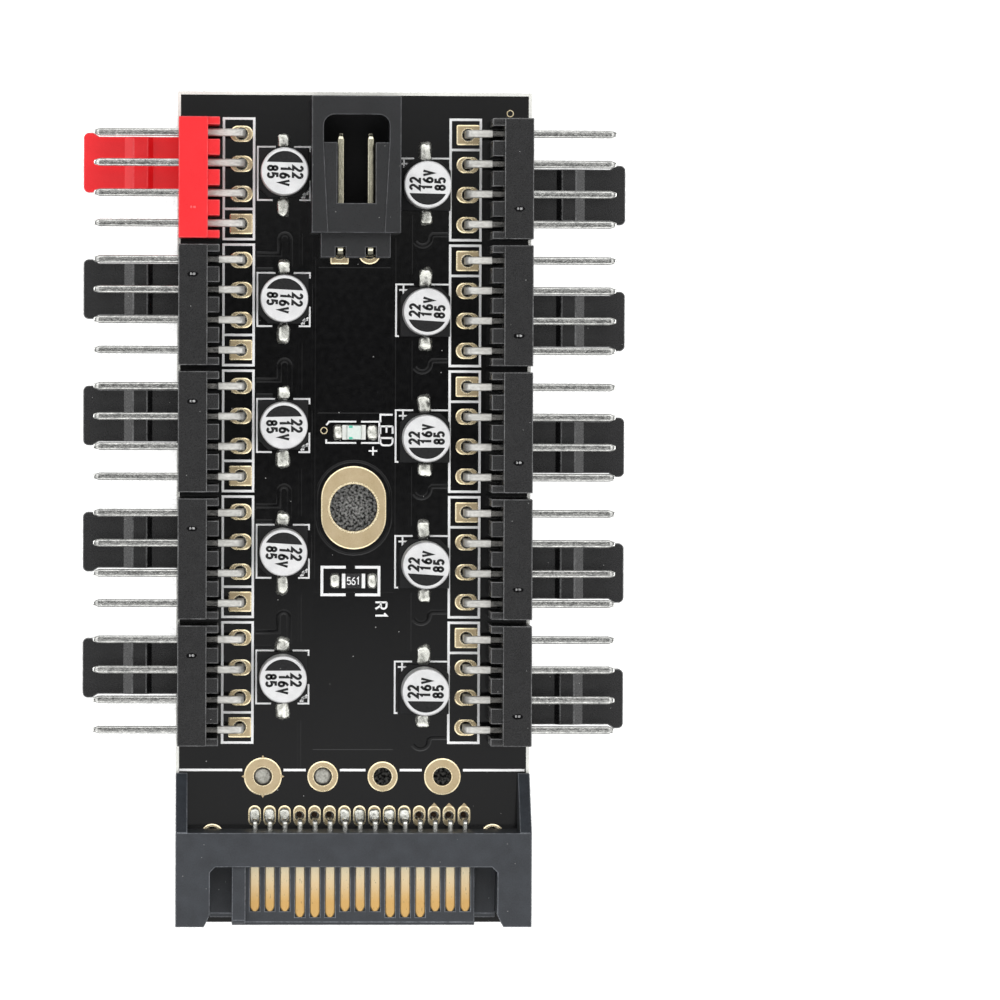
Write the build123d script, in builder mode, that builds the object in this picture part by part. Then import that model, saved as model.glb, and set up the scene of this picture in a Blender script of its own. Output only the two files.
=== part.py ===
from build123d import *
import math
import os

# Fan hub on a small circuit board, in millimetres.
# The origin is on the mounting hole's axis at the board's underside, +Z is the component side,
# +Y points to the control header and -Y to the power plug.

# Square pins shared by all headers
PIN_SIZE = 0.64
PIN_PITCH = 2.54
PIN_TIP_LENGTH = 0.5
PIN_TIP_INSET = 0.16
PIN_BEND = 0.3
PIN_HOLE_PLAY = 0.15
TAIL_LENGTH = 1.3

# Fan headers, five rows on each side
FAN_WAYS = 4
ROWS = 5
ROW_GAP = 0.508
HEADER_DEPTH = 2.45
HEADER_HEIGHT = 5.9
RIB_DEPTH = 1.0
RIB_DROP = 0.4
RIB_PLAY = 0.29
PIN_HEIGHT = 3.4
PIN_REACH = 7.1
PIN_RUN = 2.85

# Lock tab under the fan pins
TAB_REACH = 8.0
TAB_THICKNESS = 1.1
TAB_WIDTH = 4.4
TAB_EAR = 0.32
TAB_EAR_LENGTH = 0.8
TAB_EAR_SLOPE = 0.5
TAB_TIP_RADIUS = 0.45
RAMP_HEIGHT = 0.45
RAMP_FROM_TIP = 3.45
RAMP_RUN = 0.75
RAMP_PLATEAU = 1.2
RAMP_BACK = 0.44

# Capacitors
CAN_DIAMETER = 4.0
CAN_HEIGHT = 4.6
CRIMP_HEIGHT = 0.5
CRIMP_DEPTH = 0.25
BASE_SIZE = 4.2
BASE_HEIGHT = 0.6
BASE_CORNER = 0.8
TERMINAL_WIDTH = 0.65
TERMINAL_THICKNESS = 0.2
TERMINAL_INSET = 0.5
TERMINAL_REACH = 0.65
CAP_SHIFT = 0.53
CAP_GAP = 0.15
CAP_TO_HOLES = 3.6

# Control header, two ways in an open shroud
CONTROL_WAYS = 2
CONTROL_SIDE = 1.0
CONTROL_CAVITY = 5.5
CONTROL_HEIGHT = 6.0
CONTROL_FLOOR = 0.85
CONTROL_ROOF = 0.85
CONTROL_REAR = 2.5
CONTROL_SETBACK = 0.5
CONTROL_PIN_HEIGHT = 3.0
CONTROL_PIN_REACH = 5.9
CONTROL_TAIL_RUN = 1.6
WINDOW_FRONT = 1.6
WINDOW_LENGTH = 2.3
WINDOW_RADIUS = 0.9
SLOT_LENGTH = 5.1
SLOT_WIDTH = 3.2
PANEL_DEPTH = 0.15
PANEL_TAPER = 0.4
STEP_WIDTH = 5.9
STEP_PAST_HOLES = 0.45
STEP_HEIGHT = 3.9
NOTCH_PLAY = 0.1

# Power plug with fifteen contacts
PLUG_WAYS = 15
CONTACT_PITCH = 1.27
CONTACT_WIDTH = 0.82
CONTACT_THICKNESS = 0.25
CONTACT_TIP_LONG = 0.7
CONTACT_TIP_SHORT = 1.2
CONTACT_GROUP = 3
LEG_WIDTH = 0.42
LEG_HOLE_DIAMETER = 0.8
LEG_TO_HOLE = 0.19
LEG_RUN = 0.89
PLUG_DEPTH = 2.9
PLUG_HEIGHT = 5.0
ARM_WIDTH = 2.9
ARM_LEAD_IN = 0.5
ARM_LEAD_LENGTH = 1.0
ARM_ROOT = 0.45
SLOT_GAP = 1.85
TONGUE_LENGTH = 5.05
TONGUE_THICKNESS = 1.23
TONGUE_TOP = 3.2
TONGUE_MARGIN = 0.3
TONGUE_EDGE = 0.25
KEY_WIDTH = 1.16
KEY_HEIGHT = 1.2
FLOOR_THICKNESS = 0.8
FLOOR_SETBACK = 0.45
FLOOR_EDGE = 0.35
GUSSET_WIDTH = 1.0
GUSSET_LENGTH = 4.75
GUSSET_END = 0.8
PEG_DIAMETER = 1.1
PEG_PLAY = 0.4
PEG_INSET = 3.1
PEG_SETBACK = 0.6

# Chip parts near the mounting hole
CHIP_LENGTH = 2.0
CHIP_WIDTH = 1.25
CARRIER_HEIGHT = 0.35
LENS_LENGTH = 1.3
LENS_HEIGHT = 0.45
LENS_TAPER = 8.0
RESISTOR_HEIGHT = 0.5
RESISTOR_CAP = 0.32
LED_Y = 6.4
RESISTOR_Y = -6.2

# Board, sized by what it carries
BOARD_THICKNESS = 1.6
MOUNT_HOLE_DIAMETER = 4.0
POWER_HOLE_DIAMETER = 1.55
POWER_HOLES = 4
POWER_PITCH = 5.08
HOLE_FLATS = 8
HEADER_SETBACK = 0.1
EDGE_TO_ROWS = 2.3
ROWS_TO_POWER = 2.9
POWER_TO_LEGS = 3.53

# Values worked out from the sizes above
header_length = FAN_WAYS * PIN_PITCH
row_pitch = header_length + ROW_GAP
rows_length = ROWS * row_pitch - ROW_GAP
control_width = CONTROL_CAVITY + 2 * CONTROL_SIDE
cap_x = control_width / 2 + CAP_GAP + BASE_SIZE / 2
hole_x = cap_x + CAP_TO_HOLES
rear_face_x = hole_x + PIN_RUN
front_face_x = rear_face_x + HEADER_DEPTH
board_width = 2 * (front_face_x + HEADER_SETBACK)
legs_to_edge = LEG_RUN + PLUG_DEPTH + TONGUE_LENGTH
board_length = EDGE_TO_ROWS + rows_length + ROWS_TO_POWER + POWER_TO_LEGS + legs_to_edge
board_end = board_length / 2
row_ys = [board_end - EDGE_TO_ROWS - header_length / 2 - row * row_pitch for row in range(ROWS)]
pin_ys = [(way - (FAN_WAYS - 1) / 2) * PIN_PITCH for way in range(FAN_WAYS)]
pin_hole_diameter = PIN_SIZE * math.sqrt(2) + PIN_HOLE_PLAY
top = BOARD_THICKNESS

control_front = board_end - CONTROL_SETBACK
control_back = control_front - WINDOW_FRONT - WINDOW_LENGTH - SLOT_LENGTH - CONTROL_REAR
control_hole_y = control_back - CONTROL_TAIL_RUN
step_back = control_hole_y - STEP_PAST_HOLES
control_xs = [(way - (CONTROL_WAYS - 1) / 2) * PIN_PITCH for way in range(CONTROL_WAYS)]

leg_y = legs_to_edge - board_end
power_y = leg_y + POWER_TO_LEGS
plug_back = leg_y - LEG_RUN
tongue_root = plug_back - PLUG_DEPTH
plug_front = tongue_root - TONGUE_LENGTH
tongue_width = PLUG_WAYS * CONTACT_PITCH + KEY_WIDTH + TONGUE_MARGIN
plug_width = tongue_width + 2 * (SLOT_GAP + ARM_WIDTH)
contact_xs = [KEY_WIDTH / 2 + (way - (PLUG_WAYS - 1) / 2) * CONTACT_PITCH for way in range(PLUG_WAYS)]
peg_x = plug_width / 2 - PEG_INSET
peg_y = plug_back - PEG_SETBACK
power_xs = [(hole - (POWER_HOLES - 1) / 2) * POWER_PITCH for hole in range(POWER_HOLES)]

os.makedirs("parts", exist_ok=True)


def write(shape, name):
    shape.label = name
    export_step(shape, f"parts/{name}.step")


def write_cells(piece, name):
    # One copy for each fan port: left column first, from the top, the right column half a turn on
    for column, turn in enumerate((180, 0)):
        for row, y in enumerate(row_ys):
            copy = piece.part.moved(Location((0, y, 0), (0, 0, turn)))
            write(copy, f"{name}_{column * ROWS + row + 1}")


def bent_pin(tip, hole, height, ys):
    # Square pins from a tip at x to a hole at x, bent down through the board, one for each y
    low = -TAIL_LENGTH
    out = math.copysign(PIN_SIZE / 2, tip - hole)
    with BuildPart() as pins:
        for y in ys:
            with BuildSketch(Plane.XZ.offset(-y)) as side:
                with BuildLine():
                    Polyline(
                        (tip, height - PIN_SIZE / 2),
                        (hole + out, height - PIN_SIZE / 2),
                        (hole + out, low),
                        (hole - out, low),
                        (hole - out, height + PIN_SIZE / 2),
                        (tip, height + PIN_SIZE / 2),
                        close=True,
                    )
                make_face()
                bend = side.vertices().sort_by_distance((hole - out, height + PIN_SIZE / 2))[0]
                chamfer(bend, PIN_BEND)
            extrude(amount=PIN_SIZE / 2, both=True)
        ends = pins.faces().filter_by(Axis.X).group_by(Axis.X)[-1 if out > 0 else 0]
        for face in ends:
            chamfer(face.edges(), PIN_TIP_INSET, PIN_TIP_LENGTH, reference=face)
    return pins


# Circuit board; the many small lead holes have flat sides to keep the model light
with BuildPart() as pcb:
    with BuildSketch():
        Rectangle(board_width, board_length)
        Circle(MOUNT_HOLE_DIAMETER / 2, mode=Mode.SUBTRACT)
        with Locations(*[(x, y + dy) for x in (-hole_x, hole_x) for y in row_ys for dy in pin_ys]):
            RegularPolygon(pin_hole_diameter / 2, HOLE_FLATS, major_radius=False, mode=Mode.SUBTRACT)
        with Locations(*[(x, control_hole_y) for x in control_xs]):
            RegularPolygon(pin_hole_diameter / 2, HOLE_FLATS, major_radius=False, mode=Mode.SUBTRACT)
        with Locations(*[(x, power_y) for x in power_xs]):
            RegularPolygon(POWER_HOLE_DIAMETER / 2, HOLE_FLATS, major_radius=False, mode=Mode.SUBTRACT)
        with Locations(*[(x, leg_y + LEG_TO_HOLE) for x in contact_xs]):
            RegularPolygon(LEG_HOLE_DIAMETER / 2, HOLE_FLATS, major_radius=False, mode=Mode.SUBTRACT)
        with Locations((-peg_x, peg_y), (peg_x, peg_y)):
            peg_hole = (PEG_DIAMETER + PEG_PLAY) / 2
            RegularPolygon(peg_hole, HOLE_FLATS, major_radius=False, mode=Mode.SUBTRACT)
    extrude(amount=BOARD_THICKNESS)
write(pcb.part, "pcb")

# Fan header housing: block with a comb of ribs, and a ramped lock tab with an eared tip
tab_y = -PIN_PITCH / 2
tab_tip = front_face_x + TAB_REACH
ear_back = tab_tip - TAB_EAR_LENGTH
ear_y = TAB_WIDTH / 2 + TAB_EAR
ramp_start = tab_tip - RAMP_FROM_TIP
with BuildPart() as housing:
    with BuildSketch(Plane.XY.offset(top)):
        with Locations((rear_face_x, 0)):
            Rectangle(HEADER_DEPTH, header_length, align=(Align.MIN, Align.CENTER))
    extrude(amount=HEADER_HEIGHT)
    with BuildSketch(Plane.XY.offset(top)):
        with Locations((rear_face_x, 0)):
            Rectangle(RIB_DEPTH, header_length, align=(Align.MAX, Align.CENTER))
        with Locations(*[(rear_face_x, y) for y in pin_ys]):
            slot_width = PIN_SIZE + 2 * RIB_PLAY
            Rectangle(RIB_DEPTH, slot_width, align=(Align.MAX, Align.CENTER), mode=Mode.SUBTRACT)
    extrude(amount=HEADER_HEIGHT - RIB_DROP)
    with BuildSketch(Plane.XY.offset(top)) as tab:
        with BuildLine():
            Polyline(
                (front_face_x, tab_y - TAB_WIDTH / 2),
                (ear_back - TAB_EAR_SLOPE, tab_y - TAB_WIDTH / 2),
                (ear_back, tab_y - ear_y),
                (tab_tip, tab_y - ear_y),
                (tab_tip, tab_y + ear_y),
                (ear_back, tab_y + ear_y),
                (ear_back - TAB_EAR_SLOPE, tab_y + TAB_WIDTH / 2),
                (front_face_x, tab_y + TAB_WIDTH / 2),
                close=True,
            )
        make_face()
        fillet(tab.vertices().group_by(Axis.X)[-1], TAB_TIP_RADIUS)
    extrude(amount=TAB_THICKNESS)
    with BuildSketch(Plane.XZ.offset(-tab_y)):
        with BuildLine():
            tab_face = top + TAB_THICKNESS
            Polyline(
                (ramp_start, tab_face),
                (ramp_start - RAMP_RUN, tab_face + RAMP_HEIGHT),
                (ramp_start - RAMP_RUN - RAMP_PLATEAU, tab_face + RAMP_HEIGHT),
                (ramp_start - RAMP_RUN - RAMP_PLATEAU - RAMP_BACK, tab_face),
                close=True,
            )
        make_face()
    extrude(amount=TAB_WIDTH / 2, both=True)
    with BuildSketch(Plane.YZ.offset(rear_face_x)):
        with Locations(*[(y, top + PIN_HEIGHT) for y in pin_ys]):
            Rectangle(PIN_SIZE, PIN_SIZE)
    extrude(amount=HEADER_DEPTH, mode=Mode.SUBTRACT)
write_cells(housing, "fan_header")

# Fan header pins, four to a header
fan_pins = bent_pin(front_face_x + PIN_REACH, hole_x, top + PIN_HEIGHT, pin_ys)
write_cells(fan_pins, "fan_pins")

# Capacitor base with two cut corners on its positive side, standing on its terminals
cap_y = -CAP_SHIFT
with BuildPart() as cap_base:
    with BuildSketch(Plane.XY.offset(top + TERMINAL_THICKNESS)) as plan:
        with Locations((cap_x, cap_y)):
            Rectangle(BASE_SIZE, BASE_SIZE)
        chamfer(plan.vertices().group_by(Axis.Y)[-1], BASE_CORNER)
    extrude(amount=BASE_HEIGHT)
write_cells(cap_base, "capacitor_base")

# Capacitor terminals, two to a capacitor
terminal_length = BASE_SIZE / 2 + TERMINAL_REACH - TERMINAL_INSET
terminal_y = TERMINAL_INSET + terminal_length / 2
with BuildPart() as terminals:
    with BuildSketch(Plane.XY.offset(top)):
        for column in (-1, 1):
            for y in row_ys:
                with Locations(*[(column * cap_x, y + column * cap_y + end * terminal_y) for end in (-1, 1)]):
                    Rectangle(TERMINAL_WIDTH, terminal_length)
    extrude(amount=TERMINAL_THICKNESS)
write(terminals.part, "capacitor_terminals")

# Capacitor can, turned about its own axis, with the crimped neck above its base
can_radius = CAN_DIAMETER / 2
can_bottom = top + TERMINAL_THICKNESS + BASE_HEIGHT
can_top = can_bottom + CAN_HEIGHT
with BuildPart() as can:
    with BuildSketch(Plane.XZ.offset(-cap_y)):
        with BuildLine():
            Polyline(
                (cap_x, can_bottom),
                (cap_x + can_radius - CRIMP_DEPTH, can_bottom),
                (cap_x + can_radius, can_bottom + CRIMP_HEIGHT),
                (cap_x + can_radius, can_top),
                (cap_x, can_top),
                close=True,
            )
        make_face()
    revolve(axis=Axis((cap_x, cap_y, 0), (0, 0, 1)))
write_cells(can, "capacitor_can")

# Control header shroud: open front, window and slot in the roof, stepped rear with pin notches
window_back = control_front - WINDOW_FRONT - WINDOW_LENGTH
slot_back = window_back - SLOT_LENGTH
control_length = control_front - control_back
roof = top + CONTROL_HEIGHT
with BuildPart() as shroud:
    with BuildSketch(Plane.XY.offset(top)):
        with Locations((0, control_back)):
            Rectangle(control_width, control_length, align=(Align.CENTER, Align.MIN))
    extrude(amount=CONTROL_HEIGHT)
    with BuildSketch(Plane.XY.offset(top)):
        with Locations((0, step_back)):
            Rectangle(STEP_WIDTH, control_back - step_back, align=(Align.CENTER, Align.MIN))
        with Locations(*[(x, step_back) for x in control_xs]):
            notch_width = PIN_SIZE + 2 * NOTCH_PLAY
            notch_depth = STEP_PAST_HOLES + PIN_SIZE / 2 + NOTCH_PLAY
            Rectangle(notch_width, notch_depth, align=(Align.CENTER, Align.MIN), mode=Mode.SUBTRACT)
    extrude(amount=STEP_HEIGHT)
    with BuildSketch(Plane.XZ.offset(-slot_back)):
        with Locations((0, top + CONTROL_FLOOR)):
            cavity_height = CONTROL_HEIGHT - CONTROL_FLOOR - CONTROL_ROOF
            Rectangle(CONTROL_CAVITY, cavity_height, align=(Align.CENTER, Align.MIN))
    extrude(amount=slot_back - control_front, mode=Mode.SUBTRACT)
    with BuildSketch(Plane.XY.offset(roof)):
        with BuildLine():
            Polyline(
                (-CONTROL_CAVITY / 2, window_back),
                (CONTROL_CAVITY / 2, window_back),
                (CONTROL_CAVITY / 2 - PANEL_TAPER, control_back),
                (PANEL_TAPER - CONTROL_CAVITY / 2, control_back),
                close=True,
            )
        make_face()
    extrude(amount=-PANEL_DEPTH, mode=Mode.SUBTRACT)
    with BuildSketch(Plane.XY.offset(roof)) as window:
        with Locations((0, window_back)):
            Rectangle(CONTROL_CAVITY, WINDOW_LENGTH, align=(Align.CENTER, Align.MIN))
        fillet(window.vertices().group_by(Axis.Y)[-1], WINDOW_RADIUS)
        with Locations((0, window_back)):
            Rectangle(SLOT_WIDTH, SLOT_LENGTH, align=(Align.CENTER, Align.MAX))
    extrude(amount=-CONTROL_ROOF, mode=Mode.SUBTRACT)
    with BuildSketch(Plane.XZ.offset(-slot_back)):
        with Locations(*[(x, top + CONTROL_PIN_HEIGHT) for x in control_xs]):
            Rectangle(PIN_SIZE, PIN_SIZE)
    extrude(amount=slot_back - step_back, mode=Mode.SUBTRACT)
write(shroud.part, "control_header")

# Control header pins, made along X and turned to point at +Y
control_tip = slot_back + CONTROL_PIN_REACH
control_pins = bent_pin(control_tip, control_hole_y, top + CONTROL_PIN_HEIGHT, control_xs)
write(control_pins.part.moved(Location((0, 0, 0), (0, 0, 90))), "control_pins")

# Power plug housing
tongue_bottom = top + TONGUE_TOP - TONGUE_THICKNESS
arm_inner = plug_width / 2 - ARM_WIDTH
with BuildPart() as plug:
    with BuildSketch(Plane.XY.offset(top)):
        with Locations((0, plug_back)):
            Rectangle(plug_width, PLUG_DEPTH, align=(Align.CENTER, Align.MAX))
        for side in (-1, 1):
            with BuildLine():
                Polyline(
                    (side * (arm_inner - ARM_ROOT), tongue_root),
                    (side * plug_width / 2, tongue_root),
                    (side * plug_width / 2, plug_front),
                    (side * (arm_inner + ARM_LEAD_IN), plug_front),
                    (side * arm_inner, plug_front + ARM_LEAD_LENGTH),
                    (side * arm_inner, tongue_root - ARM_ROOT),
                    close=True,
                )
            make_face()
    extrude(amount=PLUG_HEIGHT)
    with BuildSketch(Plane.YZ.offset(-arm_inner)):
        with BuildLine():
            floor_front = plug_front + FLOOR_SETBACK
            Polyline(
                (tongue_root, top),
                (floor_front, top),
                (floor_front, top + FLOOR_THICKNESS - FLOOR_EDGE),
                (floor_front + FLOOR_EDGE, top + FLOOR_THICKNESS),
                (tongue_root, top + FLOOR_THICKNESS),
                close=True,
            )
        make_face()
    extrude(amount=2 * arm_inner)
    with BuildSketch(Plane.YZ.offset(-tongue_width / 2)):
        with BuildLine():
            Polyline(
                (tongue_root, tongue_bottom),
                (plug_front + TONGUE_EDGE, tongue_bottom),
                (plug_front, tongue_bottom + TONGUE_EDGE),
                (plug_front, top + TONGUE_TOP - TONGUE_EDGE),
                (plug_front + TONGUE_EDGE, top + TONGUE_TOP),
                (tongue_root, top + TONGUE_TOP),
                close=True,
            )
        make_face()
    extrude(amount=tongue_width)
    with BuildSketch(Plane.YZ.offset(-tongue_width / 2)):
        with BuildLine():
            key_top = top + TONGUE_TOP + KEY_HEIGHT
            Polyline(
                (tongue_root, top + TONGUE_TOP),
                (plug_front + TONGUE_EDGE, top + TONGUE_TOP),
                (plug_front + TONGUE_EDGE, key_top - TONGUE_EDGE),
                (plug_front + 2 * TONGUE_EDGE, key_top),
                (tongue_root, key_top),
                close=True,
            )
        make_face()
    extrude(amount=KEY_WIDTH)
    for edge in (-plug_width / 2, plug_width / 2 - GUSSET_WIDTH):
        with BuildSketch(Plane.YZ.offset(edge)):
            with BuildLine():
                Polyline(
                    (plug_back, top),
                    (plug_back + GUSSET_LENGTH, top),
                    (plug_back + GUSSET_LENGTH, top + GUSSET_END),
                    (plug_back, top + PLUG_HEIGHT),
                    close=True,
                )
            make_face()
        extrude(amount=GUSSET_WIDTH)
    with BuildSketch(Plane.XY.offset(top)):
        with Locations((-peg_x, peg_y), (peg_x, peg_y)):
            RegularPolygon(PEG_DIAMETER / 2, HOLE_FLATS, major_radius=False)
    extrude(amount=-BOARD_THICKNESS)

# Power plug contacts: blade in a groove of the tongue, leg bent down through the board
blade_top = top + TONGUE_TOP
leg_far = leg_y + CONTACT_THICKNESS / 2
leg_near = leg_y - CONTACT_THICKNESS / 2
with BuildPart() as contacts:
    for way, x in enumerate(contact_xs):
        long_blade = way // CONTACT_GROUP % 2 == 1
        blade_tip = plug_front + (CONTACT_TIP_LONG if long_blade else CONTACT_TIP_SHORT)
        with BuildSketch(Plane.XY.offset(blade_top)):
            with Locations((x, blade_tip)):
                Rectangle(CONTACT_WIDTH, plug_back - blade_tip, align=(Align.CENTER, Align.MIN))
        extrude(amount=-CONTACT_THICKNESS)
        with BuildSketch(Plane.YZ.offset(x - LEG_WIDTH / 2)):
            with BuildLine():
                Polyline(
                    (plug_back, blade_top),
                    (leg_far, blade_top),
                    (leg_far, -TAIL_LENGTH),
                    (leg_near, -TAIL_LENGTH),
                    (leg_near, blade_top - CONTACT_THICKNESS),
                    (plug_back, blade_top - CONTACT_THICKNESS),
                    close=True,
                )
            make_face()
        extrude(amount=LEG_WIDTH)
write(contacts.part, "plug_contacts")

# Grooves and channels of the plug housing, cut by the contacts that fill them
with BuildPart() as plug_housing:
    add(plug.part)
    add(contacts.part, mode=Mode.SUBTRACT)
write(plug_housing.part, "power_plug")

# Indicator LED: chip carrier with a lens on it
with BuildPart() as carrier:
    with BuildSketch(Plane.XY.offset(top)):
        with Locations((0, LED_Y)):
            Rectangle(CHIP_LENGTH, CHIP_WIDTH)
    extrude(amount=CARRIER_HEIGHT)
write(carrier.part, "led_carrier")
with BuildPart() as lens:
    with BuildSketch(Plane.XY.offset(top + CARRIER_HEIGHT)):
        with Locations((0, LED_Y)):
            Rectangle(LENS_LENGTH, CHIP_WIDTH)
    extrude(amount=LENS_HEIGHT, taper=LENS_TAPER)
write(lens.part, "led_lens")

# Resistor: chip body between two end caps
resistor_body_length = CHIP_LENGTH - 2 * RESISTOR_CAP
with BuildPart() as resistor:
    with BuildSketch(Plane.XY.offset(top)):
        with Locations((0, RESISTOR_Y)):
            Rectangle(resistor_body_length, CHIP_WIDTH)
    extrude(amount=RESISTOR_HEIGHT)
write(resistor.part, "resistor_body")
with BuildPart() as resistor_caps:
    with BuildSketch(Plane.XY.offset(top)):
        for side in (-1, 1):
            with Locations((side * (resistor_body_length + RESISTOR_CAP) / 2, RESISTOR_Y)):
                Rectangle(RESISTOR_CAP, CHIP_WIDTH)
    extrude(amount=RESISTOR_HEIGHT)
write(resistor_caps.part, "resistor_caps")
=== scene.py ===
import math
import random

import bmesh
import bpy
from mathutils import Matrix, Vector, noise


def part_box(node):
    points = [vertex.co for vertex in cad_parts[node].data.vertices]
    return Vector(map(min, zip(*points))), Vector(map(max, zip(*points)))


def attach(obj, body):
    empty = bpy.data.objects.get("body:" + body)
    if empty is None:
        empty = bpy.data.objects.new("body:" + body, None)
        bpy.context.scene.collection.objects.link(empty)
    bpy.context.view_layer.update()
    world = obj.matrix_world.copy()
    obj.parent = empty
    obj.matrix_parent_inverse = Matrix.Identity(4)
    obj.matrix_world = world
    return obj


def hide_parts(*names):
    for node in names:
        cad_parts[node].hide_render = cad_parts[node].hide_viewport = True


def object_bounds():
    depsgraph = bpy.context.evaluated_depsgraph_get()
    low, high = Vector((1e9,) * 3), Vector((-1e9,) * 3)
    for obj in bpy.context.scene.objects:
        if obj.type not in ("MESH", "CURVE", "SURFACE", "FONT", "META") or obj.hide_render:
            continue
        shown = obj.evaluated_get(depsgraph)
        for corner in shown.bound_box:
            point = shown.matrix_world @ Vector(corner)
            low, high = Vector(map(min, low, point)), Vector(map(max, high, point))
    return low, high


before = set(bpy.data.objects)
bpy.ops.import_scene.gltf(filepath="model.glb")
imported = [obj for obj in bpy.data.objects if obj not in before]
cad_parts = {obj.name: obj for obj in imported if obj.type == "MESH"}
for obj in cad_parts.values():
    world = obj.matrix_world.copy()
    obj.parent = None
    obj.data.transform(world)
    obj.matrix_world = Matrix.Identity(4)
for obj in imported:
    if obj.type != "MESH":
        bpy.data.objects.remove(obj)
cad_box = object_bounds()

# Shapes are written in millimetres and turned into metres when a piece is made
MM = 0.001
BODY = "root"

# Sizes shared with the solids
PIN = 0.64
PITCH = 2.54
WAYS = 4
ROWS = 5
PIN_HOLE = 1.05
LEG_PITCH = 1.27
LEGS = 15
LEG_HOLE = 0.8
LEG_TO_HOLE = 0.19
STRIP = 0.25
POWER_TO_LEGS = 3.53
POWER_HOLE = 1.55
MOUNT_HOLE = 4.0
PEG_HOLE = 1.5

# Thin layers on the board
MASK = 0.02
MASK_MARGIN = 0.27
COPPER = 0.03
PRINT = 0.045
PLATING = 0.03
INK_EDGE = 0.01

# Print on the parts, and how far their edges are rounded
PART_INK = 0.012
MOULDING_ROUND = 0.08
SMALL_ROUND = 0.06
CAP_ROUND = 0.05
CHIP_ROUND = 0.04
SHARP_ANGLE = 28


def node_box(node):
    low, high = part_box(node)
    return low / MM, high / MM


# Places read from the solids
board_low, board_high = node_box("pcb")
top = board_high.z
floor_z = min(corner[2] for corner in cad_box)
ports = [(-1 if number <= ROWS else 1, number) for number in range(1, 2 * ROWS + 1)]


def row_y(number):
    low, high = node_box(f"fan_header_{number}")
    return (low.y + high.y) / 2


def can_axis(number):
    low, high = node_box(f"capacitor_can_{number}")
    return (low.x + high.x) / 2, (low.y + high.y) / 2


pins_low, pins_high = node_box("fan_pins_6")
hole_x = pins_low.x + PIN / 2
pin_tip_x = pins_high.x
pin_z = pins_high.z - PIN / 2
tail_z = pins_low.z
control_low, control_high = node_box("control_pins")
control_hole_y = control_low.y + PIN / 2
contacts_low, contacts_high = node_box("plug_contacts")
leg_xs = [(contacts_low.x + contacts_high.x) / 2 + (leg - (LEGS - 1) / 2) * LEG_PITCH for leg in range(LEGS)]
leg_y = contacts_high.y - STRIP / 2
leg_hole_y = leg_y + LEG_TO_HOLE
power_y = leg_y + POWER_TO_LEGS
power_xs = [-7.62, -2.54, 2.54, 7.62]
pin_ys = [(way - (WAYS - 1) / 2) * PITCH for way in range(WAYS)]
control_xs = [-PITCH / 2, PITCH / 2]
peg_spots = [(-11.905, -27.851), (11.905, -27.851)]


# Flat outlines

def rectangle(x, y, width, height, radius=0.0, steps=4):
    if radius == 0.0:
        half_w, half_h = width / 2, height / 2
        return [(x + sx * half_w, y + sy * half_h) for sx, sy in ((-1, -1), (1, -1), (1, 1), (-1, 1))]
    loop = []
    for corner, (sx, sy) in enumerate(((1, 1), (-1, 1), (-1, -1), (1, -1))):
        cx = x + sx * (width / 2 - radius)
        cy = y + sy * (height / 2 - radius)
        for step in range(steps + 1):
            angle = math.radians(90 * corner + 90 * step / steps)
            loop.append((cx + radius * math.cos(angle), cy + radius * math.sin(angle)))
    return loop


def circle(x, y, radius, steps=24):
    turn = 2 * math.pi / steps
    return [(x + radius * math.cos(turn * s), y + radius * math.sin(turn * s)) for s in range(steps)]


def stroke(points, width, closed=False):
    # Outline of a line of even width along the points, with mitred corners
    count = len(points)
    left, right = [], []
    for i, point in enumerate(points):
        here = Vector(point)
        before = Vector(points[(i - 1) % count]) if closed or i > 0 else None
        after = Vector(points[(i + 1) % count]) if closed or i < count - 1 else None
        into = (here - before).normalized() if before else (after - here).normalized()
        out = (after - here).normalized() if after else into
        side = Vector((-into.y - out.y, into.x + out.x)).normalized()
        reach = width / 2 / max(0.3, side.dot(Vector((-into.y, into.x))))
        left.append(tuple(here + side * reach))
        right.append(tuple(here - side * reach))
    if closed:
        return [left, right]
    return [left + right[::-1]]


def arc(x, y, radius, start, end, steps=8):
    angles = [math.radians(start + (end - start) * s / steps) for s in range(steps + 1)]
    return [(x + radius * math.cos(a), y + radius * math.sin(a)) for a in angles]


# Single-stroke letters in a box one high, as lists of lines; a closed loop starts with True
LETTERS = {
    "L": [[(-0.3, 1), (-0.3, 0), (0.32, 0)]],
    "E": [[(-0.3, 0), (-0.3, 1)], [(-0.3, 1), (0.3, 1)], [(-0.3, 0.5), (0.22, 0.5)], [(-0.3, 0), (0.32, 0)]],
    "D": [[(-0.3, 0), (-0.3, 1)],
          [(-0.3, 1), (0, 1)] + arc(0, 0.7, 0.3, 80, 0, 4) + arc(0, 0.3, 0.3, 0, -90, 4) + [(-0.3, 0)]],
    "R": [[(-0.3, 0), (-0.3, 1)], [(-0.3, 1), (0, 1)] + arc(0.02, 0.74, 0.26, 80, -90, 8) + [(-0.3, 0.48)],
          [(0.0, 0.48), (0.3, 0)]],
    "V": [[(-0.3, 1), (0, 0), (0.3, 1)]],
    "1": [[(-0.2, 0.8), (0.02, 1), (0.02, 0)]],
    "2": [[(-0.28, 0.76)] + arc(0, 0.72, 0.28, 160, -30, 8) + [(-0.28, 0), (0.32, 0)]],
    "5": [[(0.26, 1), (-0.2, 1), (-0.24, 0.54)] + arc(0, 0.31, 0.3, 125, -150, 9)],
    "6": [[(0.22, 1), (-0.06, 0.82), (-0.22, 0.55), (-0.27, 0.3)], [True] + circle(0, 0.28, 0.28, 14)],
    "8": [[True] + circle(0, 0.75, 0.24, 14), [True] + circle(0, 0.27, 0.27, 14)],
    "+": [[(-0.35, 0.5), (0.35, 0.5)], [(0, 0.85), (0, 0.56)], [(0, 0.44), (0, 0.15)]],
}


# Meshes

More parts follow.
